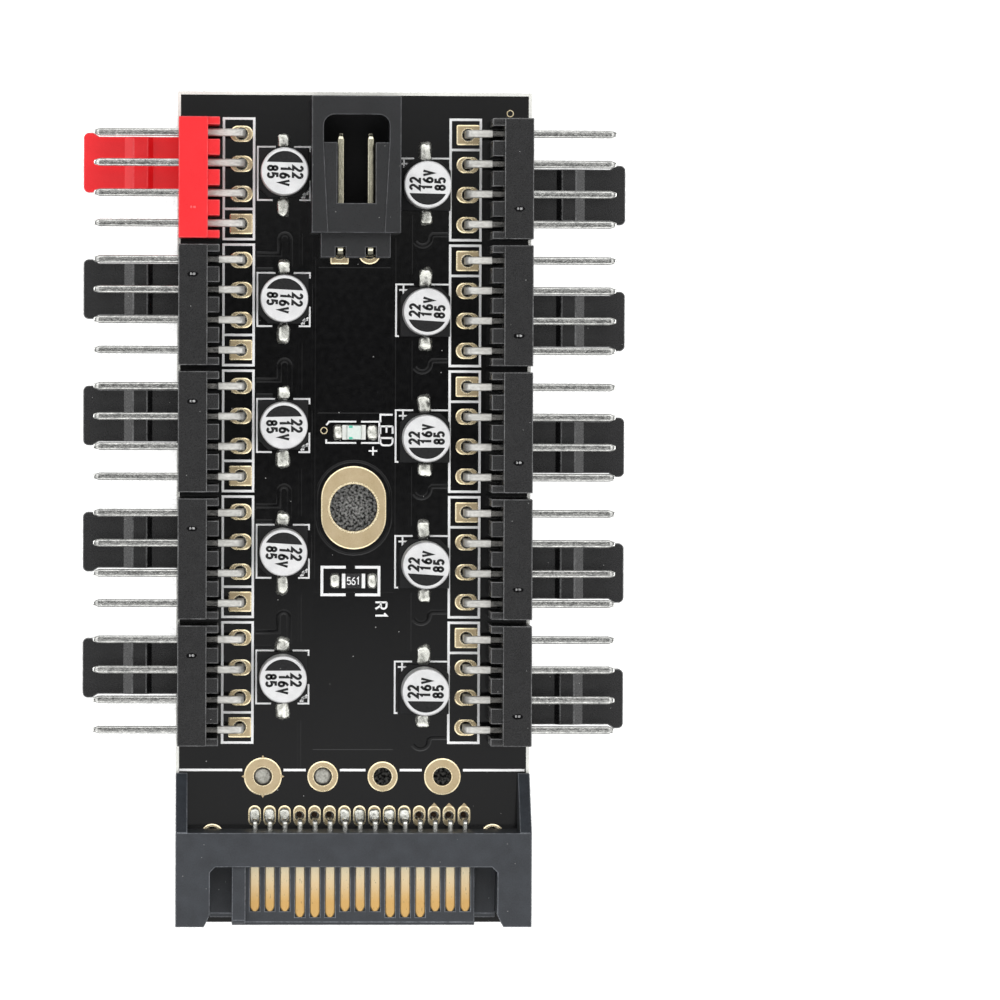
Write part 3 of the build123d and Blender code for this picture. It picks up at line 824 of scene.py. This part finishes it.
def add_bent_pin(bm, tip, hole, height, across, forward, shaded_span=None):
    # From the tip along the board, round the bend and down through the hole to the tail
    half = PIN / 2
    length = (tip - hole).dot(forward)
    upright = Vector((0, 0, 1))
    raised = Vector((0, 0, height))
    rings = []
    for back, inset in ((0.0, 0.17), (0.06, 0.13), (0.5, 0.0)):
        centre = hole + forward * (length - back) + raised
        rings.append(pin_section(centre, across, upright, half - inset, PIN_CORNER - inset * 0.3))
    looks = [0] * len(rings)
    last = 2 if shaded_span else 0
    # Between the reaches in shaded_span the pin takes slot 1, a darker tin that is painted shade
    for reach in shaded_span or ():
        rings.append(pin_section(hole + forward * reach + raised, across, upright, half))
        looks.append(1 if reach == shaded_span[0] else last)
    for step in range(7):
        angle = math.radians(90 * step / 6)
        up = upright * math.cos(angle) - forward * math.sin(angle)
        level = Vector((0, 0, height - PIN_BEND + PIN_BEND * math.cos(angle)))
        centre = hole + forward * (PIN_BEND - PIN_BEND * math.sin(angle)) + level
        rings.append(pin_section(centre, across, up, half))
    for z, inset in ((tail_z + 0.12, 0.0), (tail_z, 0.1)):
        rings.append(pin_section(hole + Vector((0, 0, z)), across, -forward, half - inset))
    add_rings(bm, rings, materials=looks + [last] * (len(rings) - len(looks)))


for side, number in ports:
    pins = bmesh.new()
    forward = Vector((side, 0, 0))
    for dy in pin_ys:
        y = row_y(number) + dy
        add_bent_pin(pins, Vector((side * pin_tip_x, y, 0)), Vector((side * hole_x, y, 0)), pin_z,
                     Vector((0, 1, 0)), forward, RIB_REACH)
    # Slot 1 takes the pins' stretch between the ribs: on the black headers a darker tin as painted shade
    looks = [tin, tin_matte if number == 1 else tin_painted_shade, tin_matte]
    piece(f"header_pins_{number}", pins, looks, (f"fan_pins_{number}",), smooth=40)

# Control header and its pins

SHROUD_FLOOR = 0.85
shroud = rounded_copy("control_header", MOULDING_ROUND, edge=2)
cavity_floor = node_box("control_header")[0].z + SHROUD_FLOOR
# The cavity's floor takes the darker plastic as painted shade
for face in shroud.faces:
    if face.normal.z > 0.9 and abs(face.calc_center_median().z - cavity_floor) < 0.05:
        face.material_index = 1
looks = [shroud_plastic, shroud_painted_shade, shroud_edge_highlight]
piece("control_shroud", shroud, looks, ("control_header",))
pins = bmesh.new()
for x in control_xs:
    tip = Vector((x, control_high.y, 0))
    hole = Vector((x, control_hole_y, 0))
    add_bent_pin(pins, tip, hole, control_high.z - PIN / 2, Vector((1, 0, 0)), Vector((0, 1, 0)))
piece("control_pins_bent", pins, [brassy], ("control_pins",), smooth=40)

# Capacitors: rolled can with a crimped neck, printed top, square base

random.seed(7)
CAN_RADIUS = 2.0
CAN_ROUND = 0.15
for side, number in ports:
    x, y = can_axis(number)
    low, high = node_box(f"capacitor_can_{number}")
    bottom, peak = low.z, high.z
    profile = [(0, bottom), (1.74, bottom), (1.9, bottom + 0.1), (1.94, bottom + 0.25), (1.86, bottom + 0.42),
               (1.8, bottom + 0.6), (1.87, bottom + 0.78), (1.97, bottom + 0.92), (CAN_RADIUS, bottom + 1.1)]
    for step in range(6):
        angle = math.radians(90 * step / 5)
        profile.append((CAN_RADIUS - CAN_ROUND + CAN_ROUND * math.cos(angle),
                        peak - CAN_ROUND + CAN_ROUND * math.sin(angle)))
    profile.append((0, peak))
    can = bmesh.new()
    add_turned(can, profile, x, y, 56)
    piece(f"can_{number}", can, [can_metal], (f"capacitor_can_{number}",), smooth=50)
    turn = random.uniform(-4, 4)
    marks = bmesh.new()
    chord = math.degrees(math.acos(0.44))
    middle = 90 if side < 0 else -90
    ink_peak = peak + PART_INK
    add_plate(marks, [arc(x, y, 1.7, middle - chord + turn, middle + chord + turn, 20)], peak, ink_peak)
    read = 90 if side > 0 else -90
    spin = Matrix.Rotation(math.radians(turn), 2)
    for text, across, along in (("22", -1.08, 0.06), ("16V", -0.02, 0.38), ("85", 1.02, 0.06)):
        spot = spin @ Vector((side * across, side * along))
        add_letters(marks, text, 0.78, x + spot.x, y + spot.y, read + turn, 0.21, peak, ink_peak, 0.76, 0.78)
    piece(f"can_print_{number}", marks, [can_ink], smooth=30)
    base = rounded_copy(f"capacitor_base_{number}", SMALL_ROUND)
    piece(f"can_base_{number}", base, [base_plastic], (f"capacitor_base_{number}",))

# Solder on both faces of the board, and the terminals under the cans

joints = bmesh.new()
for side, number in ports:
    x, y = can_axis(number)
    for end in (-1, 1):
        positive = end == side
        length = 1.65 if positive else 1.25
        reach = 2.05 + length / 2
        add_mound(joints, x + random.uniform(-0.06, 0.06), y + end * reach, random.uniform(1.0, 1.2), length,
                  random.uniform(0.3, 0.4), random.uniform(0, 50), top, 0.3)
chip_ends = [(-1.36, LED_Y, 0.8), (1.56, LED_Y, 0.95), (-1.57, RESISTOR_Y, 0.85), (1.57, RESISTOR_Y, 0.8)]
for x, y, width in chip_ends:
    add_mound(joints, x, y, width, 1.28, 0.38, random.uniform(0, 50), top, 0.2)
known = set(joints.faces)
fill = [(0, top * 0.3), (0.76, top * 0.3), (0.77, top - 0.5), (0.74, top - 0.42), (0.6, top - 0.36),
        (0.3, top - 0.33), (0, top - 0.32)]
for x in power_xs[:2]:
    add_turned(joints, fill, x, power_y, 24, 0.02, random.uniform(0, 50))
paint_new(joints, known, 1)
for leg, x in enumerate(leg_xs):
    if leg in (0, 1, 2, 6, 7, 8, 9, 10):
        add_mound(joints, x, leg_hole_y, 0.9, 1.3, 0.4, random.uniform(0, 50), top, 0.2)
piece("solder_top", joints, [solder, solder_dull], smooth=50)

cones = bmesh.new()
pin_cone = [(0, top * 0.2), (0.4, top * 0.2), (0.4, 0.0), (0.92, -0.02), (0.86, -0.12), (0.66, -0.35),
            (0.5, -0.7), (0.44, -1.0), (0.3, -1.1), (0, -1.12)]
leg_cone = [(0, top * 0.2), (0.25, top * 0.2), (0.25, 0.0), (0.5, -0.02), (0.46, -0.15), (0.36, -0.45),
            (0.3, -0.85), (0.2, -0.95), (0, -0.97)]
for holes, profile, steps in ((lead_holes + control_holes, pin_cone, 16), (leg_holes, leg_cone, 14)):
    for x, y, _ in holes:
        add_turned(cones, profile, x, y, steps, 0.12, random.uniform(0, 60))
# The cones' part inside the holes takes the dark gold, painted shade
for face in cones.faces:
    if min(vert.co.z for vert in face.verts) > -0.01:
        face.material_index = 1
piece("solder_bottom", cones, [solder, gold_in_painted_shade], smooth=50)
terminals = rounded_copy("capacitor_terminals", CHIP_ROUND)
piece("can_terminals", terminals, [tin], ("capacitor_terminals",))

# Power plug and its contacts

plug = rounded_copy("power_plug", MOULDING_ROUND, edge=1)
# The plug's softened edges take the paler plastic, a painted highlight
piece("plug_housing", plug, [plug_plastic, plug_edge_highlight], ("power_plug",))
BLADE = 0.82
LEG = 0.42
LEG_BEND = 0.4
PLUG_BACK = -27.251
plug_front = node_box("power_plug")[0].y
blade_z = contacts_high.z
contacts = bmesh.new()


def strip_section(x, y, z, width, up, corner=0.09):
    # Ring of a flat strip's section whose thickness lies along up, below its upper face
    ring = []
    half = width / 2
    for px, pt in ((half - corner, 0), (half, -corner), (half, corner - STRIP), (half - corner, -STRIP),
                   (corner - half, -STRIP), (-half, corner - STRIP), (-half, -corner), (corner - half, 0)):
        ring.append((x + px, y + up[0] * pt, z + up[1] * pt))
    return ring


for leg, x in enumerate(leg_xs):
    tip = plug_front + (0.7 if leg // 3 % 2 else 1.2)
    rings, looks = [], []
    blade = ((tip, 0.34), (tip + 0.08, 0.5), (tip + 0.32, 0.76), (tip + 0.45, BLADE),
             (PLUG_BACK - 0.25, BLADE), (PLUG_BACK, LEG))
    for y, width in blade:
        rings.append(strip_section(x, y, blade_z, width, (0, 1)))
        looks.append(0 if y < PLUG_BACK - 0.3 else 1)
    for step in range(6):
        angle = math.radians(90 * step / 5)
        y = contacts_high.y - LEG_BEND + LEG_BEND * math.sin(angle)
        z = blade_z - LEG_BEND + LEG_BEND * math.cos(angle)
        rings.append(strip_section(x, y, z, LEG, (math.sin(angle), math.cos(angle))))
        looks.append(1)
    rings.append(strip_section(x, contacts_high.y, tail_z, LEG, (1, 0)))
    looks.append(1)
    add_rings(contacts, rings, materials=looks)
piece("plug_contacts_bent", contacts, [gold_blade_and_sheen, leg_metal], ("plug_contacts",), smooth=25)

# Chip parts

piece("led_body", rounded_copy("led_carrier", CHIP_ROUND), [chip_white], ("led_carrier",))
piece("led_window", rounded_copy("led_lens", SMALL_ROUND), [lens_clear], ("led_lens",))
lens_top = node_box("led_lens")[1].z
tabs = bmesh.new()
for end in (-1, 1):
    tab = rectangle(-0.28, LED_Y + end * 0.48, 0.3, 0.2)
    add_plate(tabs, [tab], lens_top - 0.02, lens_top + PART_INK)
piece("led_tabs", tabs, [led_mark])
chip = rounded_copy("resistor_body", CHIP_ROUND)
piece("resistor_chip", chip, [resistor_glass], ("resistor_body",))
piece("resistor_ends", rounded_copy("resistor_caps", CAP_ROUND), [chip_end], ("resistor_caps",))
chip_top = node_box("resistor_body")[1].z
code = bmesh.new()
add_letters(code, "561", 0.6, 0, RESISTOR_Y, 0, 0.085, chip_top, chip_top + PART_INK, 0.66, 0.85)
piece("resistor_code", code, [print_white], smooth=30)

# Floor, light and camera

stage = bmesh.new()
bmesh.ops.create_grid(stage, x_segments=1, y_segments=1, size=3.0)
floor_mesh = mesh_from_bmesh(stage)
floor = bpy.data.objects.new("floor", floor_mesh)
floor.location = (0, 0, floor_z)
bpy.context.scene.collection.objects.link(floor)
material, nodes, links, bsdf = shader("floor_glow_over_shade")
bsdf.inputs["Roughness"].default_value = 0.9
# The floor's own colour is a dark grey speckle: painted shade, seen under the hub and through its holes where
# the glow below is held back
speckle = grain_noise(nodes, links, 0.22)
shade_speckle = two_tone(nodes, links, speckle, (0.02, 0.02, 0.019), (0.6, 0.6, 0.58), 0.4, 0.66)
links.new(shade_speckle, bsdf.inputs["Base Color"])
bsdf.inputs["Emission Color"].default_value = (1, 1, 1, 1)

# To the eye and in reflections the floor is white, but for the shade under and close to the hub
SHADE_INNER, SHADE_OUTER = 6.5, 2.5
SHADE_REACH = 4.0
path = nodes.new("ShaderNodeLightPath")
seen = worked(nodes, links, "MAXIMUM", path.outputs["Is Camera Ray"], path.outputs["Is Glossy Ray"])
seen = worked(nodes, links, "MAXIMUM", seen, path.outputs["Is Transmission Ray"])
where = nodes.new("ShaderNodeTexCoord")
parts = nodes.new("ShaderNodeSeparateXYZ")
links.new(where.outputs["Object"], parts.inputs["Vector"])
inside = []
for axis, reach in (("X", board_high.x), ("Y", board_high.y)):
    out = worked(nodes, links, "ABSOLUTE", parts.outputs[axis])
    inside.append(mapped(nodes, links, out, 1.0, 0.0, (reach - SHADE_INNER) * MM, (reach - SHADE_OUTER) * MM))
covered = worked(nodes, links, "MULTIPLY", *inside)
open_sky = nodes.new("ShaderNodeAmbientOcclusion")
open_sky.samples = 12
open_sky.inputs["Distance"].default_value = SHADE_REACH * MM
clear = mapped(nodes, links, open_sky.outputs["AO"], 0.0, 1.0, 0.3, 0.45)
lift = worked(nodes, links, "MULTIPLY", seen, clear)
lift = worked(nodes, links, "MULTIPLY", lift, mapped(nodes, links, covered, 1.0, 0.0, 0.0, 1.0))
links.new(lift, bsdf.inputs["Emission Strength"])
floor_mesh.materials.append(material)


def softbox(name, place, size, power):
    light = bpy.data.lights.new(name, "AREA")
    light.shape = "RECTANGLE"
    light.size, light.size_y = size
    light.energy = power
    lamp = bpy.data.objects.new(name, light)
    lamp.location = place
    lamp.rotation_euler = (-Vector(place)).to_track_quat("-Z", "Y").to_euler()
    bpy.context.scene.collection.objects.link(lamp)


BOX_SIZE = (0.7, 0.15)
BOX_POWER = 1.7
softbox("left_box", (-0.62, 0.1, 0.33), BOX_SIZE, BOX_POWER)
softbox("right_box", (0.62, -0.1, 0.33), BOX_SIZE, BOX_POWER)

# Plain room: two overhead panels, a dark gap between them where the camera hangs, and a ring of light
GAP_MIDDLE = -0.006
GAP_HALF = 0.032
GAP_LEVEL = 0.08
ROOM = 0.34
NEAR_GAP = 0.6
RING = 0.85
PANEL = 1.15
world = bpy.data.worlds.new("studio")
bpy.context.scene.world = world
world.use_nodes = True
nodes, links = world.node_tree.nodes, world.node_tree.links
background = nodes["Background"]
where = nodes.new("ShaderNodeTexCoord")
parts = nodes.new("ShaderNodeSeparateXYZ")
links.new(where.outputs["Generated"], parts.inputs["Vector"])

height = parts.outputs["Z"]
tilt = worked(nodes, links, "DIVIDE", parts.outputs["Y"], height)
away = worked(nodes, links, "ABSOLUTE", worked(nodes, links, "SUBTRACT", tilt, GAP_MIDDLE))
lean = worked(nodes, links, "DIVIDE", parts.outputs["X"], height)
aside = worked(nodes, links, "ABSOLUTE", lean)
room = mapped(nodes, links, height, ROOM, NEAR_GAP, 0.9, 0.96)
gap = mapped(nodes, links, away, GAP_LEVEL, 1.0, GAP_HALF - 0.004, GAP_HALF + 0.004)
panel = mapped(nodes, links, away, 0.0, PANEL, 0.16, 0.24)
for reach, start, end in ((away, 0.7, 0.9), (aside, 0.5, 0.7)):
    panel = worked(nodes, links, "MULTIPLY", panel, mapped(nodes, links, reach, 1.0, 0.0, start, end))
ring = mapped(nodes, links, height, 0.0, RING, 0.74, 0.8)
ring = worked(nodes, links, "MULTIPLY", ring, mapped(nodes, links, height, 1.0, 0.0, 0.97, 0.985))
sky = worked(nodes, links, "ADD", worked(nodes, links, "MULTIPLY", room, gap), panel)
sky = worked(nodes, links, "ADD", sky, ring)
links.new(sky, background.inputs["Strength"])
background.inputs["Color"].default_value = (1, 1, 1, 1)

FOCAL_PIXELS = 6467.7
PICTURE_PIXELS = 1000
SENSOR = 36.0
camera = bpy.data.cameras.new("camera")
camera.sensor_width = SENSOR
camera.lens = FOCAL_PIXELS / PICTURE_PIXELS * SENSOR
camera.clip_start = 0.01
viewer = bpy.data.objects.new("camera", camera)
viewer.location = (-13.952 * MM, 14.207 * MM, 550.0 * MM)
viewer.rotation_euler = (-0.02481, -0.04796, 0.00419)
bpy.context.scene.collection.objects.link(viewer)
bpy.context.scene.camera = viewer
bpy.context.scene.view_settings.view_transform = "Standard"
